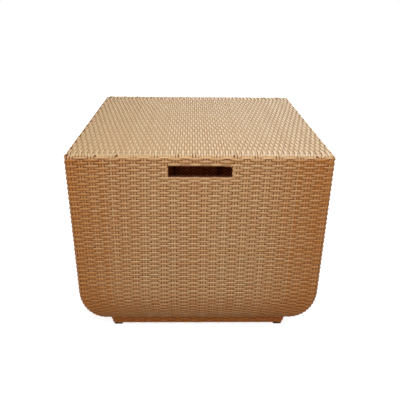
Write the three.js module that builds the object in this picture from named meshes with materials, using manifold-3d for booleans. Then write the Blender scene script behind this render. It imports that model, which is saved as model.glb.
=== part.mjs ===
// Propane tank cover table: a woven resin cube that is lowered over a gas bottle and used as a side table.
// A welded frame of aluminium tube carries woven skins. The skins turn under at the foot of every side
// and end on a recessed woven plinth, which stands on four press-in glides. Both hands lift the cover
// by a slot in the front and one in the back.
// Millimetres, +Z up, origin on the floor under the middle, front towards -Y, left towards -X.

import * as THREE from 'three';
import { mergeVertices, toCreasedNormals } from 'three/addons/utils/BufferGeometryUtils.js';
import Module from 'manifold-3d';

const wasm = await Module();
wasm.setup();

// Whole cover
const bodyWidth = 590;
const bodyDepth = 590;
const height = 505;

// Woven skins
const weaveThickness = 5.6;
const uprightEdgeRadius = 11;
const topEdgeRadius = 8;

// Courses of the skins: a rib over each pair of stakes and a groove between two pairs, with plain borders
// below the top edge and in front of and behind the ribs of the top
const frontPairPitch = 22.6;
const sidePairPitch = 23.5;
const grooveWidth = 12;
const grooveDepth = 2.4;
const edgeBorder = 8;
const topBorder = 36;

// Turn under at the foot of each side, part of a quarter of an ellipse with these half axes
const turnReach = 93;
const turnDrop = 127;

// Plinth skins
const plinthTop = 32;
const plinthInset = 61;
const plinthTaper = 5;
const plinthWeaveThickness = 3.6;
const plinthEdgeRadius = 6;

// Frame tubes, outside sizes and wall
const tubeWall = 1.5;
const tubeEdgeRadius = 2;
const railHeight = 16;
const railDepth = 20;
const crossbarWidth = 20;
const crossbarCount = 3;
const postWidth = 20;
const postEdgeRadius = 5;
const stileWidth = 10;
const stileDepth = 12;
const ribBays = 3;
const baseRailHeight = 20;
const baseRailDepth = 20;
const legWidth = 20;
const plinthRailWidth = 12;

// Hand slots and the strands wound round the bars beside them
const slotWidth = 140;
const slotHeight = 25.4;
const slotCornerRadius = 3;
const wrapThickness = 1.2;
const bindingRecess = 1;
const handleBarHeight = 10;

// Glides
const glideWidth = 22;
const glideHeight = 6.5;
const glideChamfer = 1;
const plugLength = 18;
const plugRibDepth = 1.2;
const plugRibHeight = 1.5;
const plugRibCount = 3;

// Fits and cuts
const seatGap = 0.3;
const overrun = 5;

// Facets of round stretches
const skinEdgeSteps = 4;
const tubeEdgeSteps = 2;
const turnSteps = 7;
const creaseAngle = Math.PI / 6;

// Places that follow from the sizes
const halfWidth = bodyWidth / 2;
const halfDepth = bodyDepth / 2;
const frameInset = weaveThickness + seatGap;
const sideTop = height - topEdgeRadius;
const turnHeight = plinthTop + turnDrop * Math.sin(turnAngle(plinthInset));
const railTop = height - frameInset;
const railBottom = railTop - railHeight;
const legInset = plinthInset + plinthTaper + plinthWeaveThickness + seatGap;
const turnEndInset = legInset - seatGap;
const turnEnd = turnAngle(turnEndInset);
const baseRailBottom = turnPoint(turnEnd, frameInset).z;
const legBottom = glideHeight + seatGap;
const slotTop = railBottom - seatGap - wrapThickness;
const slotBottom = slotTop - slotHeight;
const handleBarTop = slotBottom - wrapThickness - seatGap;
const handleBarBottom = handleBarTop - handleBarHeight;
const bindingTop = railBottom - seatGap;
const bindingBottom = handleBarBottom - seatGap - wrapThickness;
const stileInner = slotWidth / 2 + wrapThickness + seatGap;
const stileOuter = stileInner + stileWidth;
const bindingHalfWidth = stileOuter + seatGap + wrapThickness;

const weave = new THREE.MeshStandardMaterial({ color: 0xb98a58, roughness: 0.55, metalness: 0 });
const darkWeave = new THREE.MeshStandardMaterial({ color: 0xa67848, roughness: 0.6, metalness: 0 });
const paintedTube = new THREE.MeshStandardMaterial({ color: 0x4a2f1c, roughness: 0.45, metalness: 0.3 });
const blackPlastic = new THREE.MeshStandardMaterial({ color: 0x15130f, roughness: 0.5, metalness: 0 });

const sides = [
  { name: 'front', turn: 0, halfAcross: halfWidth, halfOut: halfDepth, ends: ['left', 'right'], slot: true },
  { name: 'right', turn: Math.PI / 2, halfAcross: halfDepth, halfOut: halfWidth, ends: ['front', 'back'], slot: false },
  { name: 'back', turn: Math.PI, halfAcross: halfWidth, halfOut: halfDepth, ends: ['right', 'left'], slot: true },
  { name: 'left', turn: -Math.PI / 2, halfAcross: halfDepth, halfOut: halfWidth, ends: ['back', 'front'], slot: false },
];

const corners = [
  { name: 'front_left', x: -1, y: -1 },
  { name: 'front_right', x: 1, y: -1 },
  { name: 'back_right', x: 1, y: 1 },
  { name: 'back_left', x: -1, y: 1 },
];

// Angle of the turn under, from its upright start, where its outer face is so far in from the side
function turnAngle(inset) {
  return Math.acos(1 - inset / turnReach);
}

// Point of the turn under at an angle, as how far in from the side and how high it is; depth moves it
// into the body, square to the outer face
function turnPoint(angle, depth) {
  const inwards = Math.cos(angle) / turnReach;
  const upwards = Math.sin(angle) / turnDrop;
  const length = Math.hypot(inwards, upwards);
  return {
    inset: turnReach * (1 - Math.cos(angle)) + depth * inwards / length,
    z: turnHeight - turnDrop * Math.sin(angle) + depth * upwards / length,
  };
}

// Points of a rectangle with round corners about the origin, anticlockwise
function roundedOutline(halfX, halfY, radius, steps) {
  const points = [];
  for (let corner = 0; corner < 4; corner++) {
    const signX = corner === 0 || corner === 3 ? 1 : -1;
    const signY = corner < 2 ? 1 : -1;
    for (let step = 0; step <= steps; step++) {
      const angle = (corner + step / steps) * Math.PI / 2;
      const x = signX * (halfX - radius) + radius * Math.cos(angle);
      const y = signY * (halfY - radius) + radius * Math.sin(angle);
      points.push(new THREE.Vector2(x, y));
    }
  }
  return points;
}

// Closed body through a stack of level rectangles with round corners, from the lowest up; each level
// has an inset from the half sizes, a corner radius and a height
function levelLoft(halfX, halfY, levels, steps) {
  return loft(levels.map(({ inset, radius, z }) => {
    const outline = roundedOutline(halfX - inset, halfY - inset, Math.max(radius, seatGap), steps);
    return outline.map((point) => new THREE.Vector3(point.x, point.y, z));
  }));
}

// Closed body through loops with as many points each, anticlockwise as seen from where the loops lead to
function loft(loops) {
  const count = loops[0].length;
  const index = loops.slice(1).flatMap((_, ring) => band(ring * count, (ring + 1) * count, count));
  const last = (loops.length - 1) * count;
  for (let i = 1; i + 1 < count; i++) {
    index.push(0, i + 1, i);
    index.push(last, last + i, last + i + 1);
  }
  return indexedGeometry(loops.flat(), index);
}

// Hollow tube through stations from the lowest up, each with a place and the directions of the
// section's two axes; outline and bore are the section's two loops, with as many points each
function sweptTube(stations, outline, bore) {
  const count = outline.length;
  const points = stations.flatMap(({ place, across, inwards }) => [...outline, ...bore].map((point) => {
    return place.clone().addScaledVector(across, point.x).addScaledVector(inwards, point.y);
  }));
  const index = [];
  for (let ring = 0; ring + 1 < stations.length; ring++) {
    const start = 2 * count * ring;
    const next = start + 2 * count;
    index.push(...band(start, next, count));
    index.push(...band(next + count, start + count, count));
  }
  const last = 2 * count * (stations.length - 1);
  index.push(...band(count, 0, count));
  index.push(...band(last, last + count, count));
  return indexedGeometry(points, index);
}

// Triangles between two loops of points, by the numbers of their first points
function band(lower, upper, count) {
  const triangles = [];
  for (let i = 0; i < count; i++) {
    const next = (i + 1) % count;
    triangles.push(lower + i, lower + next, upper + next);
    triangles.push(lower + i, upper + next, upper + i);
  }
  return triangles;
}

function indexedGeometry(points, index) {
  const geometry = new THREE.BufferGeometry().setFromPoints(points);
  geometry.setIndex(index);
  return geometry;
}

// Straight tube with its section in X and Y, from the origin up to its length
function straightTube(sizeX, sizeY, wall, length) {
  const section = new THREE.Shape(roundedOutline(sizeX / 2, sizeY / 2, tubeEdgeRadius, tubeEdgeSteps));
  const boreRadius = Math.max(tubeEdgeRadius - wall, seatGap);
  section.holes.push(new THREE.Path(roundedOutline(sizeX / 2 - wall, sizeY / 2 - wall, boreRadius, tubeEdgeSteps)));
  return new THREE.ExtrudeGeometry(section, { depth: length, bevelEnabled: false });
}

// Straight tube along X with its middle at the origin
function crosswiseTube(sizeY, sizeZ, wall, length) {
  const geometry = straightTube(sizeZ, sizeY, wall, length);
  geometry.translate(0, 0, -length / 2);
  return geometry.rotateY(Math.PI / 2);
}

// Outline drawn in X and Z, made solid between two places on Y
function uprightPlate(outline, front, back) {
  const geometry = new THREE.ExtrudeGeometry(new THREE.Shape(outline), { depth: back - front, bevelEnabled: false });
  return geometry.rotateX(Math.PI / 2).translate(0, back, 0);
}

function block(lowX, highX, lowY, highY, lowZ, highZ) {
  const geometry = new THREE.BoxGeometry(highX - lowX, highY - lowY, highZ - lowZ);
  return geometry.translate((lowX + highX) / 2, (lowY + highY) / 2, (lowZ + highZ) / 2);
}

function solid(geometry) {
  const bare = geometry.clone();
  bare.deleteAttribute('normal');
  bare.deleteAttribute('uv');
  const merged = mergeVertices(bare);
  const vertProperties = new Float32Array(merged.getAttribute('position').array);
  return new wasm.Manifold(new wasm.Mesh({
    numProp: 3,
    vertProperties,
    triVerts: new Uint32Array(merged.getIndex().array),
  }));
}

function geometryOf(manifold) {
  const { vertProperties, triVerts } = manifold.getMesh();
  const geometry = new THREE.BufferGeometry();
  geometry.setAttribute('position', new THREE.BufferAttribute(vertProperties, 3));
  geometry.setIndex(new THREE.BufferAttribute(triVerts, 1));
  return geometry;
}

function piece(name, geometry, material) {
  const bare = geometry.clone();
  bare.deleteAttribute('normal');
  const mesh = new THREE.Mesh(toCreasedNormals(mergeVertices(bare), creaseAngle), material);
  mesh.name = name;
  return mesh;
}

// Space of one side between the mitre planes through its two corners, from the outside inwards
function mitreSpace({ halfAcross, halfOut }) {
  const reach = legInset + Math.max(baseRailDepth, legWidth) + overrun;
  const shift = seatGap / Math.SQRT2;
  const outerX = halfAcross + overrun - shift;
  const innerX = halfAcross - reach - shift;
  const outerY = -halfOut - overrun;
  const innerY = -halfOut + reach;
  const plan = [[-outerX, outerY], [outerX, outerY], [innerX, innerY], [-innerX, innerY]];
  const shape = new THREE.Shape(plan.map(([x, y]) => new THREE.Vector2(x, y)));
  const geometry = new THREE.ExtrudeGeometry(shape, { depth: height + 2 * overrun, bevelEnabled: false });
  return solid(geometry.translate(0, 0, -overrun));
}

// Levels of the side skins' outer face at no depth, or of their inner face at the weave's thickness,
// where the mitred frame fills the corners
function sideLevels(depth, radius, top) {
  const levels = [];
  for (let step = turnSteps; step >= 0; step--) {
    levels.push({ ...turnPoint(turnEnd * step / turnSteps, depth), radius });
  }
  levels.push({ inset: depth, radius, z: top });
  return levels;
}

// Side skin, upright and then turned under as far as the legs, with its ends on the mitre planes
function wovenSide(side) {
  const { halfAcross, halfOut } = side;
  const outerLevels = sideLevels(0, uprightEdgeRadius, sideTop - seatGap / 2);
  const innerLevels = sideLevels(weaveThickness, seatGap, sideTop + overrun);
  const outer = solid(levelLoft(halfAcross, halfOut, outerLevels, skinEdgeSteps));
  const inner = solid(levelLoft(halfAcross, halfOut, innerLevels, skinEdgeSteps));
  const wellX = halfAcross - turnEndInset;
  const wellY = halfOut - turnEndInset;
  const well = solid(block(-wellX, wellX, -wellY, wellY, -overrun, height));
  let skin = outer.subtract(inner).subtract(well).intersect(mitreSpace(side));
  const [pitch, first] = side.slot ? [frontPairPitch, 0] : [sidePairPitch, sidePairPitch / 2];
  for (const place of groovePlaces(halfAcross - uprightEdgeRadius, pitch, first)) {
    skin = skin.subtract(solid(sideGroove(side, place)));
  }
  if (side.slot) {
    skin = skin.subtract(bindingOpening(side));
  }
  return geometryOf(skin);
}

// Places of the grooves that fit within a reach to both sides of the middle; the first lies on the middle,
// or half a pitch beside it where a rib does
function groovePlaces(reach, pitch, first) {
  const places = [];
  for (let place = first; place + grooveWidth / 2 < reach; place += pitch) {
    places.push(place);
    if (place > 0) {
      places.push(-place);
    }
  }
  return places;
}

// Where a groove's two rims and its bottom lie across a skin, the rims drawn out to clear the skin's face
function grooveSection(place) {
  const half = grooveWidth / 2 * (1 + seatGap / grooveDepth);
  return [[place - half, -seatGap], [place + half, -seatGap], [place, grooveDepth]];
}

// Wedge that cuts one groove of a side skin, from beyond the turned-under end up to the border below the
// top edge; as the sides draw in, it draws towards the middle with the square of its distance from it
function sideGroove({ halfAcross, halfOut }, place) {
  const levels = [(depth) => ({ inset: depth, z: sideTop - edgeBorder })];
  for (let step = 0; step <= turnSteps + 1; step++) {
    levels.unshift((depth) => turnPoint(turnEnd * step / turnSteps, depth));
  }
  return loft(levels.map((levelAt) => grooveSection(place).map(([across, depth]) => {
    const { inset, z } = levelAt(depth);
    const drawIn = levelAt(0).inset / halfAcross * Math.abs(across) / halfAcross;
    return new THREE.Vector3(across * (1 - drawIn), inset - halfOut, z);
  })));
}

// Wedge that cuts one groove of the top between the round edges at its left and right
function topGroove(place) {
  const reach = halfWidth - topEdgeRadius;
  return loft([-reach, reach].map((x) => grooveSection(place).reverse().map(([y, depth]) => {
    return new THREE.Vector3(x, y, height - depth);
  })));
}

// Opening in a side skin that the slot's binding fills
function bindingOpening({ halfOut }) {
  const halfX = bindingHalfWidth + seatGap;
  const halfZ = (bindingTop - bindingBottom) / 2 + seatGap;
  const outline = roundedOutline(halfX, halfZ, slotCornerRadius + seatGap, tubeEdgeSteps);
  const opening = uprightPlate(outline, -halfOut - overrun, -halfOut + weaveThickness + overrun);
  return solid(opening.translate(0, 0, (bindingTop + bindingBottom) / 2));
}

// Top skin with its round edge, turned down onto the side skins
function wovenTop() {
  const innerRadius = Math.max(topEdgeRadius - weaveThickness, seatGap);
  const outer = [{ inset: 0, radius: uprightEdgeRadius, z: sideTop + seatGap / 2 }];
  const inner = [{ inset: weaveThickness, radius: seatGap, z: sideTop - overrun }];
  for (let step = 1; step <= skinEdgeSteps; step++) {
    const angle = step / skinEdgeSteps * Math.PI / 2;
    const outerInset = topEdgeRadius * (1 - Math.cos(angle));
    outer.push({
      inset: outerInset,
      radius: uprightEdgeRadius - outerInset,
      z: sideTop + topEdgeRadius * Math.sin(angle),
    });
    inner.push({
      inset: weaveThickness + innerRadius * (1 - Math.cos(angle)),
      radius: seatGap,
      z: height - weaveThickness - innerRadius * (1 - Math.sin(angle)),
    });
  }
  const shell = solid(levelLoft(halfWidth, halfDepth, outer, skinEdgeSteps));
  let skin = shell.subtract(solid(levelLoft(halfWidth, halfDepth, inner, skinEdgeSteps)));
  for (const place of groovePlaces(halfDepth - topBorder, sidePairPitch, sidePairPitch / 2)) {
    skin = skin.subtract(solid(topGroove(place)));
  }
  return geometryOf(skin);
}

// Plinth skin, leaning in a little towards the floor, its top following the turned-under skin above
function wovenPlinth(side) {
  const { halfAcross, halfOut } = side;
  const innerTopInset = plinthInset + plinthWeaveThickness;
  const outerTop = plinthTop - seatGap;
  const innerTop = turnPoint(turnAngle(innerTopInset), 0).z - seatGap;
  const innerRadius = plinthEdgeRadius - plinthWeaveThickness;
  const lean = plinthTaper / (outerTop - legBottom);
  const outer = [
    { inset: plinthInset + plinthTaper, radius: plinthEdgeRadius, z: legBottom },
    { inset: plinthInset, radius: plinthEdgeRadius, z: outerTop },
    { inset: innerTopInset, radius: innerRadius, z: innerTop },
  ];
  const inner = [
    { inset: innerTopInset + plinthTaper + lean * overrun, radius: innerRadius, z: legBottom - overrun },
    { inset: innerTopInset, radius: innerRadius, z: outerTop },
    { inset: innerTopInset, radius: innerRadius, z: outerTop + overrun },
  ];
  const shell = solid(levelLoft(halfAcross, halfOut, outer, skinEdgeSteps));
  const hollow = solid(levelLoft(halfAcross, halfOut, inner, skinEdgeSteps));
  return geometryOf(shell.subtract(hollow).intersect(mitreSpace(side)));
}

// Rail along a side with mitred ends
function mitredRail(side, inset, bottom, sizeOut, sizeUp) {
  const tube = crosswiseTube(sizeOut, sizeUp, tubeWall, 2 * side.halfAcross);
  tube.translate(0, -side.halfOut + inset + sizeOut / 2, bottom + sizeUp / 2);
  return geometryOf(solid(tube).intersect(mitreSpace(side)));
}

// Bent tube that stands behind the skins and follows their turn under, in its own plane: Y runs inwards
// from the face, or from the corner along the mitre, where stretch is the root of two; seat is from the
// skins' inner face to the tube's middle line
function bentTube(outline, bore, stretch, seat) {
  const stations = [];
  for (let step = 0; step <= turnSteps; step++) {
    stations.push(turnStation(turnEnd * step / turnSteps, stretch, seat));
  }
  const [first] = stations;
  const last = stations[turnSteps];
  const top = { ...first, place: new THREE.Vector3(0, first.place.y, railBottom - seatGap) };
  const end = { ...last, place: last.place.clone().addScaledVector(last.along, 2 * seat) };
  return sweptTube([top, ...stations, end].reverse(), outline, bore);
}

function turnStation(angle, stretch, seat) {
  const { inset, z } = turnPoint(angle, frameInset);
  const along = new THREE.Vector3(0, stretch * turnReach * Math.sin(angle), -turnDrop * Math.cos(angle)).normalize();
  const inwards = new THREE.Vector3(0, -along.z, along.y);
  const place = new THREE.Vector3(0, stretch * inset, z).addScaledVector(inwards, seat);
  return { place, along, inwards, across: new THREE.Vector3(1, 0, 0) };
}

// Stile or rib, flat against the skin and cut off upright where it meets the base rail
function bentStile() {
  const boreRadius = Math.max(tubeEdgeRadius - tubeWall, seatGap);
  const outline = roundedOutline(stileWidth / 2, stileDepth / 2, tubeEdgeRadius, tubeEdgeSteps);
  const bore = roundedOutline(stileWidth / 2 - tubeWall, stileDepth / 2 - tubeWall, boreRadius, tubeEdgeSteps);
  const tube = solid(bentTube(outline, bore, 1, stileDepth / 2));
  const cut = block(-stileWidth, stileWidth, turnEndInset, turnEndInset + 3 * stileDepth, 0, turnHeight);
  return geometryOf(tube.subtract(solid(cut)));
}

// Corner post with one edge in the corner, notched where it meets the corner of the base rails
function cornerPost() {
  const corner = new THREE.Vector2();
  const turned = (points) => points.map((point) => point.rotateAround(corner, Math.PI / 4));
  const outline = turned(roundedOutline(postWidth / 2, postWidth / 2, postEdgeRadius, tubeEdgeSteps));
  const boreHalf = postWidth / 2 - tubeWall;
  const bore = turned(roundedOutline(boreHalf, boreHalf, postEdgeRadius - tubeWall, tubeEdgeSteps));
  const tube = solid(bentTube(outline, bore, Math.SQRT2, postWidth / Math.SQRT2));
  const notch = block(0, 3 * postWidth, 0, 3 * postWidth, 0, turnHeight);
  notch.rotateZ(Math.PI / 4).translate(0, Math.SQRT2 * turnEndInset, 0);
  return geometryOf(tube.subtract(solid(notch)));
}

// Binding wound round the two stiles and the handle bar beside a slot
function slotBinding({ halfOut }) {
  const front = -halfOut + bindingRecess;
  const back = -halfOut + frameInset + stileDepth + seatGap + wrapThickness;
  const halfZ = (bindingTop - bindingBottom) / 2;
  const outline = roundedOutline(bindingHalfWidth, halfZ, slotCornerRadius, tubeEdgeSteps);
  const whole = solid(uprightPlate(outline, front, back).translate(0, 0, bindingBottom + halfZ));
  const slot = roundedOutline(slotWidth / 2, slotHeight / 2, slotCornerRadius, tubeEdgeSteps);
  const slotCut = uprightPlate(slot, front - overrun, back + overrun).translate(0, 0, slotBottom + slotHeight / 2);
  const metalFront = -halfOut + frameInset - seatGap;
  const metalBack = back - wrapThickness;
  const lowZ = handleBarBottom - seatGap;
  const highZ = handleBarTop + seatGap;
  let binding = whole.subtract(solid(slotCut));
  binding = binding.subtract(solid(block(-stileInner, stileInner, metalFront, metalBack, lowZ, highZ)));
  for (const sign of [-1, 1]) {
    const innerX = sign * (stileInner - seatGap);
    const outerX = sign * (stileOuter + seatGap);
    const [lowX, highX] = [Math.min(innerX, outerX), Math.max(innerX, outerX)];
    const sleeve = block(lowX, highX, metalFront, metalBack, bindingBottom - overrun, bindingTop + overrun);
    binding = binding.subtract(solid(sleeve));
  }
  return geometryOf(binding);
}

// Glide with a chamfered foot and a ribbed plug that presses into the leg, standing on the origin
function glide() {
  const half = glideWidth / 2;
  const boreHalf = legWidth / 2 - tubeWall;
  const ribInset = half - (boreHalf - seatGap);
  const coreInset = ribInset + plugRibDepth;
  const ribPitch = (plugLength - plugRibHeight) / plugRibCount;
  const radius = tubeEdgeRadius;
  const levels = [
    { inset: glideChamfer, radius, z: 0 },
    { inset: 0, radius, z: glideChamfer },
    { inset: 0, radius, z: glideHeight },
    { inset: coreInset, radius, z: glideHeight },
  ];
  for (let rib = 1; rib <= plugRibCount; rib++) {
    const ribTop = glideHeight + rib * ribPitch;
    levels.push({ inset: coreInset, radius, z: ribTop - plugRibHeight });
    levels.push({ inset: ribInset, radius, z: ribTop - plugRibHeight });
    levels.push({ inset: ribInset, radius, z: ribTop - plugRibHeight / 2 });
    levels.push({ inset: coreInset, radius, z: ribTop });
  }
  levels.push({ inset: coreInset, radius, z: glideHeight + plugLength });
  return levelLoft(half, half, levels, tubeEdgeSteps);
}

// Everything that lies along one side, in a group turned to face it
function sideGroup(side) {
  const { name, turn, halfAcross, halfOut, ends, slot } = side;
  const group = new THREE.Group();
  group.rotation.z = turn;
  group.add(piece(`woven_${name}`, wovenSide(side), weave));
  group.add(piece(`woven_plinth_${name}`, wovenPlinth(side), darkWeave));
  group.add(piece(`top_rail_${name}`, mitredRail(side, frameInset, railBottom, railDepth, railHeight), paintedTube));
  const baseRail = mitredRail(side, legInset, baseRailBottom, baseRailDepth, baseRailHeight);
  group.add(piece(`base_rail_${name}`, baseRail, paintedTube));

  const plinthRailLength = 2 * (halfAcross - legInset - legWidth - seatGap);
  const plinthRail = crosswiseTube(plinthRailWidth, plinthRailWidth, tubeWall, plinthRailLength);
  const plinthRailPiece = piece(`plinth_rail_${name}`, plinthRail, paintedTube);
  plinthRailPiece.position.set(0, -halfOut + legInset + plinthRailWidth / 2, legBottom + plinthRailWidth / 2);
  group.add(plinthRailPiece);

  const ribPlace = (halfAcross - frameInset - postWidth) / ribBays;
  const stilePlace = slot ? (stileInner + stileOuter) / 2 : ribPlace;
  const kind = slot ? 'stile' : 'rib';
  for (const [number, end] of ends.entries()) {
    const stile = piece(`${kind}_${name}_${end}`, bentStile(), paintedTube);
    stile.position.set(number === 0 ? -stilePlace : stilePlace, -halfOut, 0);
    group.add(stile);
  }

  if (slot) {
    const barLength = 2 * (stileInner - seatGap);
    const bar = piece(`handle_bar_${name}`, crosswiseTube(stileDepth, handleBarHeight, tubeWall, barLength), paintedTube);
    bar.position.set(0, -halfOut + frameInset + stileDepth / 2, handleBarBottom + handleBarHeight / 2);
    group.add(bar);
    group.add(piece(`slot_binding_${name}`, slotBinding(side), darkWeave));
  }
  return group;
}

// Post, leg and glide of one corner
function cornerGroup({ name, x, y }) {
  const group = new THREE.Group();
  const post = piece(`corner_post_${name}`, cornerPost(), paintedTube);
  post.position.set(x * halfWidth, y * halfDepth, 0);
  post.rotation.z = Math.atan2(y, x) + Math.PI / 2;
  group.add(post);

  const legX = x * (halfWidth - legInset - legWidth / 2);
  const legY = y * (halfDepth - legInset - legWidth / 2);
  const legLength = baseRailBottom - seatGap - legBottom;
  const leg = piece(`leg_${name}`, straightTube(legWidth, legWidth, tubeWall, legLength), paintedTube);
  leg.position.set(legX, legY, legBottom);
  group.add(leg);

  const foot = piece(`glide_${name}`, glide(), blackPlastic);
  foot.position.set(legX, legY, 0);
  group.add(foot);
  return group;
}

// Crossbars under the table top, evenly spaced between the side rails, from front rail to back rail
function crossbars() {
  const group = new THREE.Group();
  const span = 2 * (halfWidth - frameInset - railDepth);
  const length = 2 * (halfDepth - frameInset - railDepth - seatGap);
  for (let number = 1; number <= crossbarCount; number++) {
    const tube = crosswiseTube(crossbarWidth, railHeight, tubeWall, length);
    const bar = piece(`top_crossbar_${number}`, tube, paintedTube);
    bar.rotation.z = Math.PI / 2;
    bar.position.set(-span / 2 + span * number / (crossbarCount + 1), 0, railBottom + railHeight / 2);
    group.add(bar);
  }
  return group;
}

const cover = new THREE.Group();
cover.add(piece('woven_top', wovenTop(), weave));
cover.add(crossbars());
cover.add(...sides.map(sideGroup));
cover.add(...corners.map(cornerGroup));

export default cover;
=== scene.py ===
"""A square woven-resin cover table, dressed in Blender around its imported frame.

Every strand of the weave is a swept strip of its own. Lengths are millimetres
until a mesh is written in metres. The table stands on z = 0 with its front
towards -Y. Its sides are 0 front, 1 right, 2 back and 3 left, and a place
across a side counts from its middle to the right, as seen from outside.
"""

import math
from types import SimpleNamespace

import bpy
import numpy as np
from mathutils import Matrix, Vector


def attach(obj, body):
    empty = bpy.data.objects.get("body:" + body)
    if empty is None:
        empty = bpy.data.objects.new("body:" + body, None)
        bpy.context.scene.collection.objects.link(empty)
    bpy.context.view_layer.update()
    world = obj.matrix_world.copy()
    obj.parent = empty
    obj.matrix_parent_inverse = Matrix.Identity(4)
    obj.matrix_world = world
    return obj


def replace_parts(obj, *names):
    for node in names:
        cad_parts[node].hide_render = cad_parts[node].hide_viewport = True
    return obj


MILLIMETRE = 0.001
SEED = 41

# ---- the body
BODY_HALF = 295.0
BODY_HEIGHT = 505.0
TOP_EDGE_RADIUS = 8.0
UPRIGHT_EDGE_RADIUS = 11.0
SHARPEST_CORNER = 0.5
TURN_REACH = 93.0
TURN_DROP = 127.0
TURN_HEIGHT = 151.2
TURN_END_INSET = 66.5
EDGE_STEPS = 40
TURN_STEPS = 160

# ---- the strands
WEAVE_DEPTH = 5.6
WEAVER_WIDTH = 5.8
WEAVER_NARROWING = 0.7
WEAVER_THICKNESS = 2.0
WEAVER_LIFT = (WEAVE_DEPTH - WEAVER_THICKNESS) / 2 - 0.03
STAKE_WIDTH = 4.7
STAKE_THICKNESS = 1.7
STAKE_SWAY = 0.25
STAKE_SHADE = 0.04
PAIR_HALF_GAP = 2.95
CLOSEST_GATHERING = 0.62
ROW_PITCH = 6.05
MID_HALF = BODY_HALF - WEAVE_DEPTH / 2
TOP_MIDDLE = BODY_HEIGHT - WEAVE_DEPTH / 2
# Each sort of strand: thickness, faces round it, middle and spread of its tones.
PALER_TONES = (0.42, 0.06)
WEAVER = (WEAVER_THICKNESS, 8, *PALER_TONES)
STAKE = (STAKE_THICKNESS, 6, 0.5, 0.08)

# ---- the pair grid
FRONT_PAIRS = 26
FRONT_PAIR_PITCH = 22.6
SIDE_PAIRS = 25
SIDE_PAIR_PITCH = 23.5
PAIR_JITTER = 0.35
TOP_WEAVERS = 98
# A weaver's samples across one pair, and its height there over and under it.
WEAVE_STEPS = np.array([-7.6, -4.6, 0.0, 4.6, 7.6])
RISE_OVER = np.array([0.82, 0.97, 1.0, 0.97, 0.82])
RISE_UNDER = np.array([-0.15, -0.95, -1.0, -0.95, -0.15])

# ---- how the front's weave strays
# A knot table holds places across, places up or back, and a row of values for
# each of those. The drift is how far a pair lies to the right of its even place.
DRIFT = (
    (-285, -240, -195, -150, -105, -60, -15, 30, 75, 120, 165, 210, 255, 285),
    (133, 299, 412, 497),
    (
        (3.0, 1.5, -3.8, -6.9, -6.8, -5.3, -2.6, -1.6, -1.9, -1.6, -0.1, 0.6, -1.3, -2.5),
        (2.5, 1.1, -1.4, -2.9, -3.3, -3.8, -2.4, -1.6, -1.9, -1.3, -0.1, 0.9, -0.6, -1.5),
        (1.6, 0.9, 0.1, -0.2, -1.2, -3.6, -2.3, -0.3, -1.2, -0.7, 1.1, 1.7, 1.2, 0.5),
        (1.0, 1.7, 1.9, 2.3, 2.5, 2.2, 1.3, 1.1, 0.9, 0.1, 1.8, 2.8, 2.6, 2.0),
    ),
)
CORNER_FADE = 9.0
# The droop is how far a row lies below its even place.
DROOP = (
    (-290, -235, -180, -125, -70, -15, 40, 95, 150, 205, 260, 290),
    (133, 216, 299, 412, 497),
    (
        (3.6, 3.5, 3.3, 3.2, 3.1, 2.6, 2.6, 2.2, 1.3, 0.2, 0.1, 0.0),
        (3.8, 4.2, 4.2, 3.6, 3.4, 3.0, 2.9, 2.8, 2.2, 1.1, 0.0, 0.0),
        (3.8, 3.9, 3.4, 2.7, 2.1, 2.3, 2.9, 3.0, 2.3, 1.4, -0.4, 0.0),
        (5.0, 3.8, 2.2, 1.4, 0.8, 0.8, 0.9, 0.3, 0.0, 0.5, -0.1, 0.0),
        (6.2, 4.3, 2.3, 0.9, 0.1, 0.4, 0.1, 1.1, 1.6, 0.9, 0.3, 0.0),
    ),
)
DROOP_TURN = 150.0
DROOP_SHARE = (0.3, 0.6, 0.85, 1.0)
# The first rows lie lower still to the right of the middle.
BROW_ACROSS = (20, 90, 210, 270)
BROW_DROOP = (0.2, 1.2, 1.0, 0.5, 0.0)
EDGE_DROP = 1.3
EDGE_NARROWING = 1.1
EDGE_TONE = 0.85
WANDER = 0.28
WANDER_LENGTH = 47.0
WANDER_BY_ROW = 1.7
WANDER_BY_SIDE = 2.1
FOOT_MARGIN = 3.2
# How far the rows beside and below a hand slot lie below their even places.
SLOT_CROWDING = {1: -0.8, 2: -0.7, 3: -0.3, 8: 1.6, 9: 1.0, 10: 0.5, 11: 0.2}
CROWDING_REACH = 84.0
CROWDING_SOFTNESS = 5.0
# The stray is how far a crossing pair lies in front of its even place on the top.
STRAY = (
    (-240, -130, 0, 240),
    (-295, -220, -130, -20, 110, 240, 288),
    (
        (1.5, 1.0, 0.0, 0.0),
        (1.5, 1.0, 0.0, 0.0),
        (6.8, 3.0, 0.0, 0.0),
        (10.5, 6.5, 4.5, 0.5),
        (8.0, 6.0, 7.0, 6.0),
        (7.0, 7.0, 7.5, 7.5),
        (0.0, 0.0, 0.0, 0.0),
    ),
)
TOP_DRIFT_ACROSS = (-290, -245, -200, -155, -110, -70, -25, 20, 60, 105, 150, 195, 290)
TOP_DRIFT = (1.6, 1.8, 1.4, 0.8, -0.1, -0.3, 0.2, 1.3, 2.5, 2.1, 1.6, 1.0, 0.3)

# ---- the hand slot
SLOT_HALF_WIDTH = 70.0
SLOT_TOP = 481.6
SLOT_BOTTOM = 456.2
SLOT_ROWS = (4, 5, 6, 7)
WEAVER_END_GAP = 3.0
STAKE_END_GAP = 0.6
CUT_MARGIN = 1.0

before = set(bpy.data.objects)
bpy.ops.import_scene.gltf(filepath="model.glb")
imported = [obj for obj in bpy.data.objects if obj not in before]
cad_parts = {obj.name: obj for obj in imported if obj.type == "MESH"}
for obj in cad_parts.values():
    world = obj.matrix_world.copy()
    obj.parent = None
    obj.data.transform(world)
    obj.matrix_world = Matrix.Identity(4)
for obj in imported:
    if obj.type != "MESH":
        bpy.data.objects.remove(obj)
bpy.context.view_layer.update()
random = np.random.default_rng(SEED)


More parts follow.
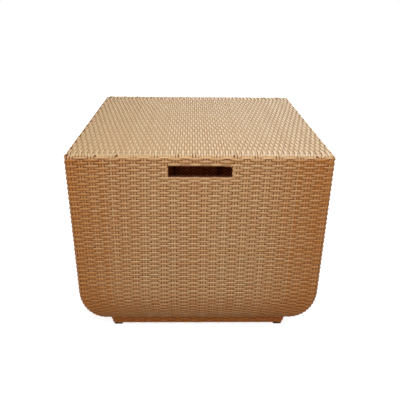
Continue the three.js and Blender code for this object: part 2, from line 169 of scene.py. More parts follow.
# ---- surfaces to weave on
def unit(vectors):
    """Each vector divided by its own length."""
    return vectors / np.linalg.norm(vectors, axis=-1, keepdims=True)


def ramp(value, start, over):
    """Rises evenly from 0 at start to 1 at the end of a stretch."""
    return np.clip((value - start) / over, 0, 1)


def wall_profile():
    """The outer line of the table in a plane across one side, from the middle
    of the top over a quarter circle at the top edge, straight down, and round
    a quarter ellipse under the belly. Columns: half width, height, outward and
    upward part of the normal, and the middle of the upright corner's circle.
    The distance along the line is zero halfway round the top edge."""
    radius = TOP_EDGE_RADIUS
    top, upright = [[0, BODY_HEIGHT, 0, 1]], [[BODY_HALF, BODY_HEIGHT - radius, 1, 0]]
    angle = np.linspace(math.pi / 2, 0, EDGE_STEPS + 1)[:-1]
    outward = np.stack([np.cos(angle), np.sin(angle)], 1)
    middle = np.array([BODY_HALF - radius, BODY_HEIGHT - radius])
    edge = np.hstack([middle + radius * outward, outward])
    angle = np.linspace(0, math.acos(1 - TURN_END_INSET / TURN_REACH), TURN_STEPS)
    inset = TURN_REACH * (1 - np.cos(angle))
    height = TURN_HEIGHT - TURN_DROP * np.sin(angle)
    normal = unit(np.stack([np.cos(angle) / TURN_REACH, -np.sin(angle) / TURN_DROP], 1))
    turn = np.column_stack([BODY_HALF - inset, height, normal])
    line = np.concatenate([top, edge, upright, turn])
    along = np.concatenate([[0], np.cumsum(np.hypot(*np.diff(line[:, :2], axis=0).T))])
    along -= along[1 + EDGE_STEPS // 2]
    corner = np.full(len(line), BODY_HALF - UPRIGHT_EDGE_RADIUS)
    corner[-TURN_STEPS:] -= inset
    return along, np.column_stack([line, corner])


WALL_ALONG, WALL_LINE = wall_profile()
WALL_END = WALL_ALONG[-1] - 1


def wall_at(along):
    """Middle of the weave at a distance along the wall line: half width,
    height, the normal's outward and upward parts, and the corner circle's
    middle. The weave's middle is half its depth inside the outer line."""
    half, height, outward, upward, corner = (
        np.interp(along, WALL_ALONG, column) for column in WALL_LINE.T
    )
    length = np.hypot(outward, upward)
    outward, upward = outward / length, upward / length
    inside = WEAVE_DEPTH / 2
    return half - outward * inside, height - upward * inside, outward, upward, corner


def pulled(across, half):
    """The share by which a strand at a distance across the full side is drawn
    in on a narrower level: it grows with the distance from the middle, so that
    the side's own edge lands on the level's edge."""
    return (1 - half / MID_HALF) * np.abs(across) / MID_HALF


def gathered(across, half):
    """Where a strand comes to lie on a narrower level."""
    return across * (1 - pulled(across, half))


def squeeze(across, half):
    """How much closer strands lie there than on the full side, within reason."""
    return np.clip(1 - 2 * pulled(across, half), CLOSEST_GATHERING, 1)


def about_z(vectors, quarter_turns):
    """Vectors turned about +Z by quarter turns, one or one for each."""
    turn = np.array([1, 1j, -1, -1j])[np.asarray(quarter_turns) % 4]
    x, y, z = np.moveaxis(vectors, -1, 0)
    flat = (x + 1j * y) * turn
    return np.stack([flat.real, flat.imag, z], -1)


def side_place(face, across, level, lift):
    """A point on a side. Within a corner circle's radius of the edge the point
    goes round the circle instead, the distance left to the edge setting the
    angle. It then moves out along the normal by its lift. Returns the point
    and the normal."""
    half, height, outward, upward, corner = level
    radius = np.maximum(half - corner, SHARPEST_CORNER)
    rest = ramp(half - np.abs(across), 0, radius)
    rest = np.where(half - corner > SHARPEST_CORNER, rest, 1)
    angle = math.pi / 4 * (1 - rest)
    turned = np.sign(across) * (corner + radius * np.sin(angle))
    sideways = np.where(rest < 1, turned, across)
    out = np.where(rest < 1, corner + radius * np.cos(angle), half)
    lean = np.sign(across) * np.sin(angle) * outward
    ahead = np.cos(angle) * outward
    point = np.stack(np.broadcast_arrays(sideways, -out, height), -1)
    normal = unit(np.stack(np.broadcast_arrays(lean, -ahead, upward), -1))
    point = point + normal * np.asarray(lift)[..., None]
    return about_z(point, face), about_z(normal, face)


# ---- strand meshes
SECTION_POWER = 2.5
# The corners of a face as steps along a strip and round it, outwards.
QUAD_CORNERS = ((0, 0), (0, 1), (1, 1), (1, 0))
# Margins of the UV map: beside a strip's length, above and below its band, and
# the places and sizes of the two end caps.
MAP_MARGIN = 0.02
BAND_MARGIN = 0.03
CAP_PLACES = (0.008, 0.992)
CAP_WIDTH = 0.006
CAP_HEIGHT = 0.4

# Painted light, as shares added to a strand's tone: painted sheen that pales the top, and
# painted shade that darkens the upright corners and the foot.
TOP_PAINTED_SHEEN = 0.16
CORNER_PAINTED_SHADE = 0.38
FOOT_PAINTED_SHADE = 0.28
CORNER_POWER = 1.5
BORDER = 5.0
BORDER_DEPTH = 3.8
LEAST_PAINTED_SHEEN = 0.1
# Where each begins and over what stretch it grows: towards a corner as a share
# of the half width, downwards, and up to the top.
CORNER_RAMP = (0.35, 0.6)
FOOT_RAMP = (-200.0, 170.0)
SHEEN_RAMP = (-4.0, 2.9)


def painted_light_tone(points):
    """Painted light by place, as a share of tone: a painted sheen, most on the top, and
    painted shade at the upright corners and the foot, which makes them darker and redder. The
    top is the whole depth of its weave, and at the border only what lies near its surface."""
    x, y, z = np.abs(np.moveaxis(points, -1, 0))
    corner = ramp(np.minimum(x, y) / BODY_HALF, *CORNER_RAMP)
    foot = ramp(-z, *FOOT_RAMP)
    inside = (z > BODY_HEIGHT - WEAVE_DEPTH) & (np.maximum(x, y) < BODY_HALF - BORDER)
    top = inside | (z > BODY_HEIGHT - BORDER_DEPTH)
    sheen_share = np.maximum(ramp(z - BODY_HEIGHT, *SHEEN_RAMP), LEAST_PAINTED_SHEEN)
    corner_foot_shade = CORNER_PAINTED_SHADE * corner**CORNER_POWER + FOOT_PAINTED_SHADE * foot
    return np.where(top, TOP_PAINTED_SHEEN * sheen_share, -corner_foot_shade)


def strand_set(strips, sort, closed=False):
    """A set for strand_mesh: strips of one sort and one length, each given as centre points,
    normals, width and painted shade, the last two even or for each point. A closed strip is a
    ring. The strips' tones are spread normally."""
    thickness, sides, middle, spread = sort
    centre, normal = (np.stack([strip[k] for strip in strips]) for k in (0, 1))
    width, painted_shade = (
        np.stack([np.broadcast_to(strip[k], centre.shape[1]) for strip in strips])
        for k in (2, 3)
    )
    tone = np.clip(random.normal(middle, spread, len(strips)), 0, 1)
    section = thickness, sides, closed
    return SimpleNamespace(
        centre=centre, normal=normal, width=width, painted_shade=painted_shade, tone=tone, section=section
    )


def sweep(centre, normal, width, section):
    """The rings of points round each row of centre points. The section is a
    superellipse, width wide and, along the surface normal, thickness deep."""
    thickness, sides, closed = section
    if closed:
        tangent = np.roll(centre, -1, 1) - np.roll(centre, 1, 1)
    else:
        tangent = np.gradient(centre, axis=1)
    tangent = unit(tangent)
    outward = unit(normal - tangent * np.sum(normal * tangent, -1, keepdims=True))
    sideways = np.cross(outward, tangent)
    angle = 2 * math.pi * np.arange(sides) / sides
    flat, deep = (
        np.sign(wave) * np.abs(wave) ** (2 / SECTION_POWER) / 2
        for wave in (np.cos(angle), np.sin(angle))
    )
    return (
        centre[:, :, None]
        + sideways[:, :, None] * flat[:, None] * width[:, :, None, None]
        + outward[:, :, None] * deep[:, None] * thickness
    )


def strand_mesh(name, sets, material):
    """One object from several strand sets. Ends are closed with a flat cap. UV map OFBake lays
    every strip in its own band, its length across the map and its round up the band. The
    attribute strand holds the distance along in metres, the place around and the tone, and a
    second attribute the painted shade of each point."""
    total = sum(len(s.centre) for s in sets)
    parts, band = [], 0
    for s in sets:
        ring = sweep(s.centre, s.normal, s.width, s.section)
        strips, length, sides = ring.shape[:3]
        closed = s.section[-1]
        spans = length if closed else length - 1
        grid = np.meshgrid(*map(np.arange, (strips, spans, sides)), indexing="ij")
        strip, station, side = (index.ravel() for index in grid)
        quads, uv = [], []
        for i, j in QUAD_CORNERS:
            row = strip * length + (station + i) % length
            quads.append(row * sides + (side + j) % sides)
            u = MAP_MARGIN + (1 - 2 * MAP_MARGIN) * ((station + i) / spans)
            v = BAND_MARGIN + (1 - 2 * BAND_MARGIN) * (side + j) / sides
            uv.append(np.stack([u, (band + strip + v) / total], -1))
        step = np.linalg.norm(np.diff(s.centre, axis=1), axis=-1)
        along = np.concatenate([np.zeros((strips, 1)), np.cumsum(step, 1)], 1)
        # The tone takes the painted sheen and the painted shade of its place.
        tone = s.tone[:, None] + painted_light_tone(s.centre)
        around = np.arange(sides) / sides
        thread = along[:, :, None] * MILLIMETRE, around, tone[:, :, None]
        thread = np.stack(np.broadcast_arrays(*thread), -1)
        made = [(ring, np.stack(quads, 1), np.stack(uv, 1), thread, s.painted_shade)]
        # The cap at the start is turned round, so that both face outwards.
        numbers = np.arange(strips)[:, None]
        angle = 2 * math.pi * around
        for end, turn in () if closed else ((0, -1), (-1, 1)):
            u = CAP_PLACES[end] + CAP_WIDTH * np.cos(angle) + 0 * numbers
            v = (band + numbers + 0.5 + CAP_HEIGHT * np.sin(angle)) / total
            order = (numbers * sides + np.arange(sides))[:, ::turn]
            uv = np.stack([u, v], -1)[:, ::turn]
            made.append((ring[:, end], order, uv, thread[:, end], s.painted_shade[:, end]))
        for points, faces, uv, threads, sinks in made:
            sinks = np.repeat(sinks.ravel(), sides)
            parts.append((points, faces, uv, threads.reshape(-1, 3), sinks))
        band += strips
    return write_mesh(name, parts, material, ("strand", "painted_shade"))


def linked(name, data):
    """A new object for some data, linked into the scene."""
    made = bpy.data.objects.new(name, data)
    bpy.context.scene.collection.objects.link(made)
    return made


def write_mesh(name, parts, material, attributes=()):
    """A mesh object from whole arrays. A part has points, faces of one size, a
    UV pair for each corner of a face, and a value at the points for each
    attribute."""
    points, faces, uvs, *values = zip(*parts)
    points = [part.reshape(-1, 3) for part in points]
    starts = np.cumsum([0] + [len(part) for part in points])
    corners = np.concatenate([(f + n).ravel() for f, n in zip(faces, starts)])
    sizes = np.concatenate([np.full(len(f), f.shape[1]) for f in faces])
    points = np.concatenate(points) * MILLIMETRE
    mesh = bpy.data.meshes.new(name)
    mesh.vertices.add(len(points))
    mesh.vertices.foreach_set("co", points.astype(np.float32).ravel())
    mesh.loops.add(len(corners))
    mesh.loops.foreach_set("vertex_index", corners.astype(np.int32))
    mesh.polygons.add(len(sizes))
    starts = np.cumsum(sizes) - sizes
    mesh.polygons.foreach_set("loop_start", starts.astype(np.int32))
    mesh.polygons.foreach_set("use_smooth", np.ones(len(sizes), bool))
    layer = mesh.uv_layers.new(name="OFBake")
    uvs = np.concatenate([part.ravel() for part in uvs])
    layer.data.foreach_set("uv", uvs.astype(np.float32))
    for key, value in zip(attributes, map(np.concatenate, values)):
        kind, field = ("FLOAT_VECTOR", "vector") if value.ndim == 2 else ("FLOAT", "value")
        attribute = mesh.attributes.new(key, kind, "POINT")
        attribute.data.foreach_set(field, value.astype(np.float32).ravel())
    mesh.update(calc_edges=True)
    mesh.validate()
    mesh.materials.append(material)
    piece = linked(name, mesh)
    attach(piece, "root")
    return piece


# ---- materials
# What each effect adds to a resin's shade, gloss and surface height.
STREAKS_PER_METRE = 9.0
STREAKS_AROUND = 9.0
TONE_TO_STREAK = 61.0
RIBS_AROUND = 11
MOTTLE_SCALE = 110.0
SHADE_BY_STREAK = 0.45
SHADE_BY_MOTTLE = 0.4
# Painted light from above: lighter where a face looks up, darker where it looks down.
PAINTED_LIGHT_BY_FACING_UP = 0.3
SHADE_BY_RIB = 0.04
GLOSS_BY_STREAK = 0.22
GLOSS_BY_MOTTLE = 0.18
HEIGHT_BY_RIB = 0.35
RESIN_BUMP = 0.25
RESIN_HEIGHT = 0.0002
GRAIN_BUMP = 0.4
GRAIN_GLOSS = 0.08
GRAIN_TO_CLOUD = 40
FINISH_INPUTS = {"Strand": "Vector", "Painted Shade": "Float", "Gloss": "Float"}
FINISH_INPUTS |= {"Low": "Color", "High": "Color", "Painted Shade Colour": "Color"}
FINISH_OUTPUTS = {"Color": "Color", "Roughness": "Float", "Height": "Float"}


def feed(tree, node, inputs):
    """Links each named input of a node to a socket, or sets it to a value."""
    for key, value in inputs.items():
        if isinstance(value, bpy.types.NodeSocket):
            tree.links.new(value, node.inputs[key])
        else:
            node.inputs[key].default_value = value


def add_node(tree, kind, inputs, **settings):
    """A new node with its settings and inputs."""
    node = tree.nodes.new(f"ShaderNode{kind}")
    for key, value in settings.items():
        setattr(node, key, value)
    feed(tree, node, inputs)
    return node


def sums(tree, operation, *values):
    """The result of a Math node on sockets and numbers."""
    inputs = dict(enumerate(values))
    return add_node(tree, "Math", inputs, operation=operation).outputs[0]


def noise(tree, scale, detail, place):
    """Noise from 0 to 1 on a place."""
    inputs = {"Scale": scale, "Detail": detail, "Vector": place}
    return add_node(tree, "TexNoise", inputs).outputs["Fac"]


def mixed(tree, share, first, second):
    """A colour between two, by a share from 0 to 1."""
    inputs = {"Factor": share, 6: first, 7: second}
    return add_node(tree, "Mix", inputs, data_type="RGBA").outputs[2]


def strand_finish():
    """Moulded resin strand: fine ribs and streaks along its length, a mottle over the object,
    and a tone of its own. Painted light from above makes it lighter where it faces up and
    darker where it faces down, and a painted shade colour darkens it where it dives between
    its neighbours. Out come a colour, a roughness and a height."""
    tree = bpy.data.node_groups.new("strand_finish", "ShaderNodeTree")
    for way, sockets in (("INPUT", FINISH_INPUTS), ("OUTPUT", FINISH_OUTPUTS)):
        for name, kind in sockets.items():
            tree.interface.new_socket(name, in_out=way, socket_type=f"NodeSocket{kind}")
    given = tree.nodes.new("NodeGroupInput").outputs
    along, around, tone = add_node(tree, "SeparateXYZ", {0: given["Strand"]}).outputs
    streak_place = {
        0: sums(tree, "MULTIPLY", along, STREAKS_PER_METRE),
        1: sums(tree, "MULTIPLY", around, STREAKS_AROUND),
        2: sums(tree, "MULTIPLY", tone, TONE_TO_STREAK),
    }
    streak = noise(tree, 1.0, 3.0, add_node(tree, "CombineXYZ", streak_place).outputs[0])
    place = add_node(tree, "TexCoord", {}).outputs
    mottle = noise(tree, MOTTLE_SCALE, 4.0, place["Object"])
    streak, mottle = (sums(tree, "SUBTRACT", value, 0.5) for value in (streak, mottle))
    rib = sums(tree, "SINE", sums(tree, "MULTIPLY", around, 2 * math.pi * RIBS_AROUND))
    # Painted light from above, by how far the surface faces up.
    rise = add_node(tree, "SeparateXYZ", {0: place["Normal"]}).outputs[2]
    shade = tone
    for value, share in (
        (streak, SHADE_BY_STREAK),
        (mottle, SHADE_BY_MOTTLE),
        (rise, PAINTED_LIGHT_BY_FACING_UP),
        (rib, SHADE_BY_RIB),
    ):
        shade = sums(tree, "MULTIPLY_ADD", value, share, shade)
    body = mixed(tree, shade, given["Low"], given["High"])
    gloss = sums(tree, "MULTIPLY_ADD", streak, GLOSS_BY_STREAK, given["Gloss"])
    results = {
        "Color": mixed(tree, given["Painted Shade"], body, given["Painted Shade Colour"]),
        "Roughness": sums(tree, "MULTIPLY_ADD", mottle, GLOSS_BY_MOTTLE, gloss),
        "Height": sums(tree, "MULTIPLY_ADD", rib, HEIGHT_BY_RIB, streak),
    }
    feed(tree, tree.nodes.new("NodeGroupOutput"), results)
    return tree


STRAND_FINISH = strand_finish()


def finished(name, surface, bump_strength, bump_height):
    """A material from a function that adds a surface's nodes to its tree and
    gives back a colour, a roughness and a height."""
    material = bpy.data.materials.new(name)
    material.use_nodes = True
    tree = material.node_tree
    colour, roughness, height = surface(tree)
    bump = {"Strength": bump_strength, "Distance": bump_height, "Height": height}
    normal = add_node(tree, "Bump", bump).outputs["Normal"]
    inputs = {"Base Color": colour, "Roughness": roughness, "Normal": normal}
    feed(tree, tree.nodes["Principled BSDF"], inputs)
    return material


def resin(name, low, high, foot, gloss):
    """A woven resin in its own colours, for strands of every sort."""

    def surface(tree):
        strand = add_node(tree, "Attribute", {}, attribute_name="strand").outputs
        painted_shade = add_node(tree, "Attribute", {}, attribute_name="painted_shade").outputs
        # The painted shade of a point, and the foot colour that it mixes in.
        inputs = {"Strand": strand["Vector"], "Painted Shade": painted_shade["Fac"], "Gloss": gloss}
        inputs |= {"Low": (*low, 1), "High": (*high, 1), "Painted Shade Colour": (*foot, 1)}
        return add_node(tree, "Group", inputs, node_tree=STRAND_FINISH).outputs

    return finished(name, surface, RESIN_BUMP, RESIN_HEIGHT)


def grained(name, low, high, scale, roughness, bump_height):
    """A plain surface finish: a fine grain from noise on Object coordinates
    moves the roughness and the surface height together, and a wider one the
    colour."""

    def surface(tree):
        place = add_node(tree, "TexCoord", {}).outputs["Object"]
        grain = noise(tree, scale, 5.0, place)
        cloud = noise(tree, scale / GRAIN_TO_CLOUD, 3.0, place)
        polish = {"To Min": roughness - GRAIN_GLOSS, "To Max": roughness + GRAIN_GLOSS}
        polish = add_node(tree, "MapRange", {"Value": grain, **polish}).outputs[0]
        return mixed(tree, cloud, (*low, 1), (*high, 1)), polish, grain

    return finished(name, surface, GRAIN_BUMP, bump_height)


# Colours are low, high and foot for a resin, low and high for a grained finish. A resin's foot
# colour is the painted shade mixed in where a strand dives.
WEAVER_RESIN = resin(
    "weaver_resin", (0.45, 0.155, 0.017), (0.635, 0.465, 0.25), (0.18, 0.052, 0.008), 0.38
)
STAKE_RESIN = resin(
    "stake_resin", (0.48, 0.15, 0.01), (0.65, 0.465, 0.25), (0.17, 0.048, 0.007), 0.42
)
# The edge strand's resin is the weavers' with darker, redder highs: painted shade against the
# strong light on the edge.
EDGE_PAINTED_SHADE_RESIN = resin(
    "edge_resin_painted_shade", (0.46, 0.20, 0.065), (0.62, 0.36, 0.16), (0.18, 0.055, 0.012), 0.45
)
# The plinth's resin is the weavers' painted redder and brighter in red: painted warm bounce
# light for the shade under the table.
PLINTH_PAINTED_BOUNCE_RESIN = resin(
    "plinth_resin_painted_bounce", (0.60, 0.18, 0.015), (0.80, 0.32, 0.06), (0.20, 0.05, 0.006), 0.6
)
# The ground's dark colour is painted shade for the gaps in the weave.
PAINTED_SHADE_GROUND = grained(
    "painted_shade_ground", (0.15, 0.045, 0.010), (0.23, 0.075, 0.018), 900, 0.8, 0.0002
)
POWDER_COAT = grained(
    "brown_powder_coat", (0.10, 0.036, 0.016), (0.14, 0.05, 0.022), 2600, 0.5, 0.00006
)
GLIDE_PLASTIC = grained(
    "black_moulded_plastic", (0.006, 0.006, 0.007), (0.014, 0.014, 0.015), 1800, 0.45, 0.00005
)


# ---- the pair grid
def knot_value(table, across, up):
    """A knot table's value by distance across and up or back, linear between
    knots and level beyond them: each row's value, weighed by how near it is."""
    knots_across, knots_up, rows = table
    place = np.interp(up, knots_up, np.arange(len(knots_up)))
    return sum(
        np.interp(across, knots_across, row) * np.clip(1 - np.abs(place - k), 0, 1)
        for k, row in enumerate(rows)
    )


def alternating(count, first):
    """Plus and minus one by turns, beginning with the first."""
    return np.where(np.arange(count) % 2 == 0, first, -first)


def even_places(count, pitch):
    """Places at an even pitch about zero."""
    return (np.arange(count) - (count - 1) / 2) * pitch


def pair_places():
    """For every pair of stakes in order round the table, front, right, back
    and left: its side and its place across that side. The front's and the
    back's are even, the others stray with the pairs that cross the top, and
    each lies a fraction of a millimetre to and fro."""
    front = even_places(FRONT_PAIRS, FRONT_PAIR_PITCH)
    side = even_places(SIDE_PAIRS, SIDE_PAIR_PITCH)
    faces = np.repeat([0, 1, 2, 3], [FRONT_PAIRS, SIDE_PAIRS, FRONT_PAIRS, SIDE_PAIRS])
    right = side - knot_value(STRAY, BODY_HALF, side)
    left = side + knot_value(STRAY, -BODY_HALF, -side)
    across = np.concatenate([front, right, front, left])
    return faces, across + random.uniform(-PAIR_JITTER, PAIR_JITTER, len(across))


PAIR_FACE, PAIR_ACROSS = pair_places()
PAIR_SIGN = alternating(len(PAIR_FACE), -1.0)
# A weaver's samples once round the table: side, place across it, the pair's
# sign, and the sample's number within its pair.
RING_FACE = np.repeat(PAIR_FACE, len(WEAVE_STEPS))
RING_ACROSS = (PAIR_ACROSS[:, None] + WEAVE_STEPS).ravel()
RING_SIGN = np.repeat(PAIR_SIGN, len(WEAVE_STEPS))
RING_STEP = np.tile(np.arange(len(WEAVE_STEPS)), len(PAIR_FACE))
LAST_ROW = int(WALL_ALONG[-1] / ROW_PITCH) - 1


def rise_at(sign, step):
    """Height of a weaver as a share of its full lift. Over a pair it lies
    high for most of the way to the next, and it dives close to the pair it
    passes under."""
    return np.where(sign > 0, RISE_OVER[step], RISE_UNDER[step])


def sunk_share(lift):
    """How much a weaver lies in its neighbours' shade: nothing down to the
    middle of the weave, and all at the foot of its dive."""
    return ramp(-lift, 0, WEAVER_LIFT)


def strand_width(lift):
    """A weaver lies flat on top of a pair and tips edgewise as it dives, so
    it shows narrower there."""
    return WEAVER_WIDTH - WEAVER_NARROWING * (1 - ramp(lift, 0, WEAVER_LIFT))


def drifted(face, across, height):
    """Where a place across a side really lies: on the front it strays by the
    drift table, less and less as it nears an upright corner."""
    inside = ramp(MID_HALF - np.abs(across), 0, CORNER_FADE)
    return across + knot_value(DRIFT, across, height) * inside * np.equal(face, 0)


def row_droop(row, face, across):
    """How far the front's rows sag: by the droop table, the first rows least,
    and these by the brow too. The left side's rows meet them at the corner and
    level out behind it by the square of the way."""
    height = wall_at(row * ROW_PITCH)[1]
    way = ramp(across, MID_HALF - DROOP_TURN, DROOP_TURN)
    front = knot_value(DROOP, across, height)
    left = knot_value(DROOP, -MID_HALF, height) * way**2
    share = np.interp(row, range(len(DROOP_SHARE)), DROOP_SHARE)
    brow = np.interp(row, range(len(BROW_DROOP)), BROW_DROOP)
    brow = brow * np.interp(across, BROW_ACROSS, [0, 1, 1, 0])
    sides = [np.equal(face, 0), np.equal(face, 3)]
    return np.select(sides, [share * front + brow, share * left], 0)


def row_shift(row, face, across):
    """How far a row lies below its even place: beside and above the hand slot
    the rows crowd upwards, under it they spread again, with a soft step at its
    ends. They droop, the edge row drops, and the others wander along a sine by
    a fraction of a millimetre."""
    near = 1 / (1 + np.exp((np.abs(across) - CROWDING_REACH) / CROWDING_SOFTNESS))
    near = near * np.isin(face, (0, 2))
    turn = across / WANDER_LENGTH + row * WANDER_BY_ROW + face * WANDER_BY_SIDE
    wander = WANDER * np.sin(turn) if row > 0 else EDGE_DROP
    shift = SLOT_CROWDING.get(row, 0.0) * near + wander + row_droop(row, face, across)
    return np.minimum(shift, WALL_ALONG[-1] - FOOT_MARGIN - row * ROW_PITCH)


def row_strand(row, part=slice(None)):
    """One weaver along a part of the ring: centre points, normals, width and painted shade."""
    face, across = RING_FACE[part], RING_ACROSS[part]
    level = wall_at(row * ROW_PITCH + row_shift(row, face, across))
    lift = WEAVER_LIFT * rise_at(RING_SIGN[part] * (-1) ** row, RING_STEP[part])
    place = gathered(drifted(face, across, level[1]), level[0])
    return *side_place(face, place, level, lift), strand_width(lift), sunk_share(lift)


def ring_set(rows):
    """Whole weavers, each one a closed ring round the four sides."""
    return strand_set([row_strand(row) for row in rows], WEAVER, closed=True)


def parted_sets():
    """The rows that the hand slots part. Each is two strands, one round the
    right side and one round the left, whose ends stop beside the slots."""
    order = np.arange(len(RING_FACE))
    beside = np.abs(RING_ACROSS) < SLOT_HALF_WIDTH + WEAVER_END_GAP
    front, back = (order[beside & (RING_FACE == face)] for face in (0, 2))
    right = order[front[-1] + 1 : back[0]]
    left = np.concatenate([order[back[-1] + 1 :], order[: front[0]]])
    return [
        strand_set([row_strand(row, part) for row in SLOT_ROWS], WEAVER)
        for part in (right, left)
    ]


SIDES = ("front", "right", "back", "left")
SIDE_NODES = [f"woven_{side}" for side in SIDES]
# The bands of whole rows that make one piece each.
BANDS = {"shoulder": (0, 17), "upper": (17, 37), "lower": (37, 57), "belly": (57, None)}
whole_rows = [row for row in range(1, LAST_ROW + 1) if row not in SLOT_ROWS]
for band, ends in BANDS.items():
    sets = [ring_set(whole_rows[slice(*ends)])]
    if band == "shoulder":
        sets += parted_sets()
    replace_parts(strand_mesh(f"weavers_{band}", sets, WEAVER_RESIN), *SIDE_NODES)

# The edge strand has a set tone and its own resin, whose highs are painted darker.
edge_ring = ring_set([0])
edge_ring.tone = np.array([EDGE_TONE])
edge_ring.width = edge_ring.width - EDGE_NARROWING
edge_piece = strand_mesh("edge_strand", [edge_ring], EDGE_PAINTED_SHADE_RESIN)
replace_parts(edge_piece, "woven_top", *SIDE_NODES)


# ---- the stakes
EDGE_OVER = 1.75
EDGE_UNDER = -1.6
# The end of a front or back stake on the top: its places along the wall line,
# and its lift there where it goes over the edge strand and where it goes under.
STAKE_END_ALONG = (-15.0, -12.0, -9.0, -6.0, -3.0)
STAKE_END_OVER = (0.2, 1.3, 1.8, 1.85, 1.85, EDGE_OVER)
STAKE_END_UNDER = (-2.4, -2.3, -2.1, -1.9, -1.8, EDGE_UNDER)


def stake_level(along, face, across):
    """Where a pair lies on the wall line, row by row: its middle strays and
    gathers with the level, and its two stakes draw closer by the squeeze."""
    sag = np.where(along > 0, row_droop(along / ROW_PITCH, face, across), 0)
    level = wall_at(np.minimum(along + sag, WALL_END))
    middle = gathered(drifted(face, across, level[1]), level[0])
    return level, middle, squeeze(across, level[0])


def row_sway(along, sign):
    """A stake gives way to each row that crosses it: a cosine whose half wave
    is one row, in step with the pair's own sign."""
    return -STAKE_SWAY * sign * np.cos(math.pi * along / ROW_PITCH)


def pair_stakes(face, level, middle, close, lift):
    """The two stakes of a pair, left then right of its middle."""
    return [
        (
            *side_place(face, middle + hand * PAIR_HALF_GAP * close, level, lift),
            STAKE_WIDTH * close,
            STAKE_SHADE,
        )
        for hand in (-1, 1)
    ]


def end_stakes(face, pairs, upper, lower):
    """Stakes of the given pairs on one side between two distances along the
    wall line. Those that reach the top edge lie on the top for a few
    millimetres and then dive below its weave."""
    steps = int(round((lower - upper) / ROW_PITCH)) + 1
    along = np.linspace(upper, lower, max(steps, 2))
    over_edge = upper == 0
    if over_edge:
        along = np.concatenate([STAKE_END_ALONG, along])
    strips = []
    for pair in pairs:
        sign = PAIR_SIGN[pair]
        lift = row_sway(along, sign)
        if over_edge:
            ends = STAKE_END_OVER if sign < 0 else STAKE_END_UNDER
            lift[: len(ends)] = ends
        strips += pair_stakes(face, *stake_level(along, face, PAIR_ACROSS[pair]), lift)
    return strand_set(strips, STAKE)


SLOT_TOP_ALONG = np.interp(-SLOT_TOP, -WALL_LINE[:, 1], WALL_ALONG)
SLOT_BOTTOM_ALONG = np.interp(-SLOT_BOTTOM, -WALL_LINE[:, 1], WALL_ALONG)

for face in (0, 2):
    pairs = np.flatnonzero(PAIR_FACE == face)
    parted = np.abs(PAIR_ACROSS[pairs]) < SLOT_HALF_WIDTH + CUT_MARGIN
    whole, cut = pairs[~parted], pairs[parted]
    sets = [
        end_stakes(face, whole, 0.0, WALL_END),
        end_stakes(face, cut, 0.0, SLOT_TOP_ALONG - STAKE_END_GAP),
        end_stakes(face, cut, SLOT_BOTTOM_ALONG + STAKE_END_GAP, WALL_END),
    ]
    piece = strand_mesh(f"stakes_{SIDES[face]}", sets, STAKE_RESIN)
    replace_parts(piece, SIDE_NODES[face])

for face in (1, 3):
    pairs = np.flatnonzero(PAIR_FACE == face)[[0, -1]]
    sets = [end_stakes(face, pairs, 0.0, WALL_END)]
    piece = strand_mesh(f"stakes_{SIDES[face]}_ends", sets, STAKE_RESIN)
    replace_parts(piece, SIDE_NODES[face])


# ---- the top
TOP_SPAN = BODY_HALF - TOP_EDGE_RADIUS - WALL_ALONG[1]
WEAVER_PLACES = 2 * TOP_SPAN / (TOP_WEAVERS + 1) * np.arange(1, TOP_WEAVERS + 1) - TOP_SPAN
WEAVER_PLACES += np.interp(WEAVER_PLACES, TOP_DRIFT_ACROSS, TOP_DRIFT)
UP = (0.0, 0.0, 1.0)
TOP_STRETCH = 1.03
# The end of a top weaver: its places along the wall line, and its lift there
# where it comes from over the last pair, from under it, and below a stake.
END_ALONG = np.array([3.0, 0.8, -1.6, -4.2, -7.5, -12.0, -18.0])
END_FROM_OVER = (-1.9, -1.9, -0.5, 1.2, 1.65, 1.75, 1.77)
END_FROM_UNDER = (-1.9, -1.9, -0.7, 0.9, 1.3, 1.3, 0.1)
END_BELOW_STAKE = (-1.9, -1.9, -1.9, -1.85, -1.8, -1.2, 0.9)
END_SHADE = 0.5
STAKE_REACH = 5.3
# The ends lean towards the middle by a share of their distance from it, from
# the first of these distances behind the edge to the second.
EDGE_LEAN = 0.028
LEAN_ALONG = (2, 22)
LEAN_FADE = 60.0
# The pairs that cross the top: left and right end, and even place.
right_pairs = np.flatnonzero(PAIR_FACE == 1)[1:-1]
left_pairs = np.flatnonzero(PAIR_FACE == 3)[1:-1][::-1]
even_y = even_places(SIDE_PAIRS - 2, SIDE_PAIR_PITCH)
CROSSING_PAIRS = list(zip(left_pairs, right_pairs, even_y))


def crossing_y(left, right, even):
    """Where a crossing pair lies at each top weaver: it strays by its table,
    and what its ends lack of that is shared out evenly along it."""
    ends = np.array([-PAIR_ACROSS[left], PAIR_ACROSS[right]])
    span = np.array([-BODY_HALF, BODY_HALF])
    lack = ends - even + knot_value(STRAY, span, even)
    stray = -knot_value(STRAY, WEAVER_PLACES, even)
    return even + stray + np.interp(WEAVER_PLACES, span, lack)


